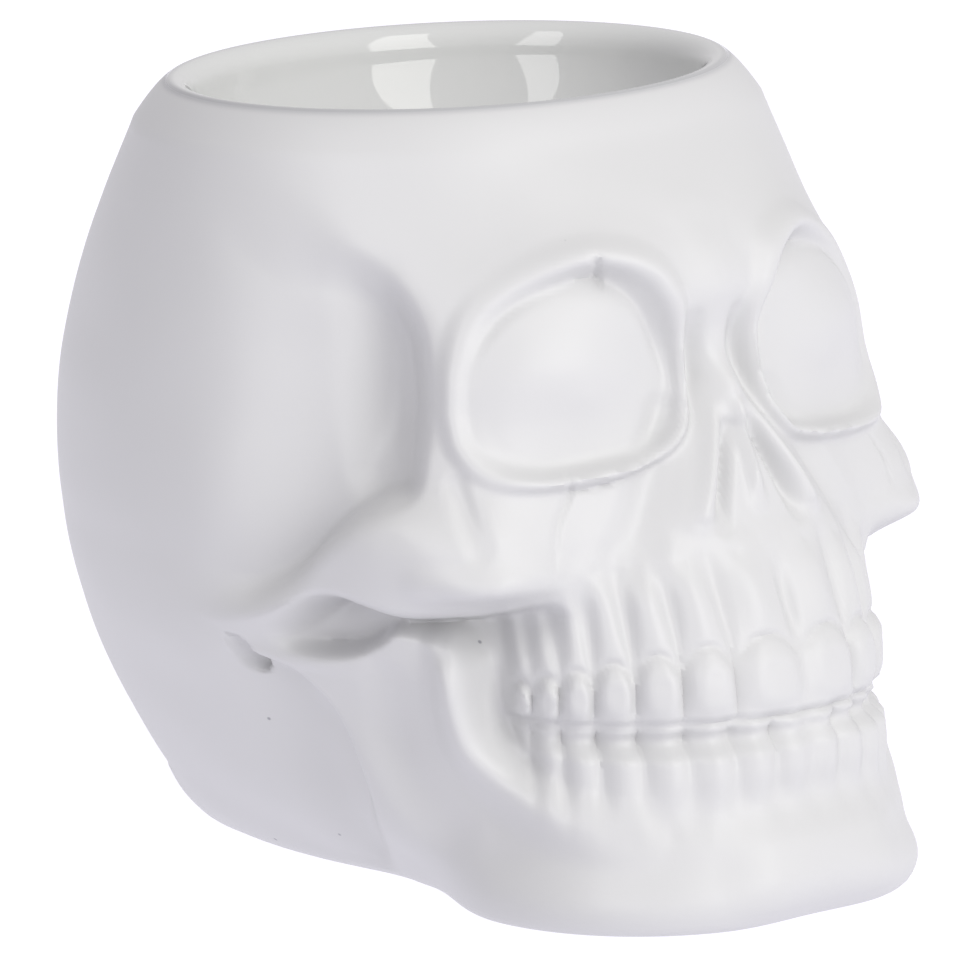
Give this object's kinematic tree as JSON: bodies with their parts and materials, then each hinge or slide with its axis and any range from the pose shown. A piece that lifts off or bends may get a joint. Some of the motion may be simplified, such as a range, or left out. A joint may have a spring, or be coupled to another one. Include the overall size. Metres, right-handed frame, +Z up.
{
  "type": "skull oil burner",
  "caption": "Skull-shaped ceramic oil burner with an oval oil dish in the crown and a candle chamber open through an arch at the back.",
  "frame": {"origin": "middle of the bounding box on the surface that the burner stands on", "axes": "+Z up, the face looks along -Y, the skull's left side is at +X"},
  "size_m": [0.0998, 0.1304, 0.105],
  "materials": {
    "skull_burner": "white ceramic, satin outside and glossy in the dish"
  },
  "bodies": {
    "root": {"skull_burner": "skull_burner"}
  },
  "joints": []
}
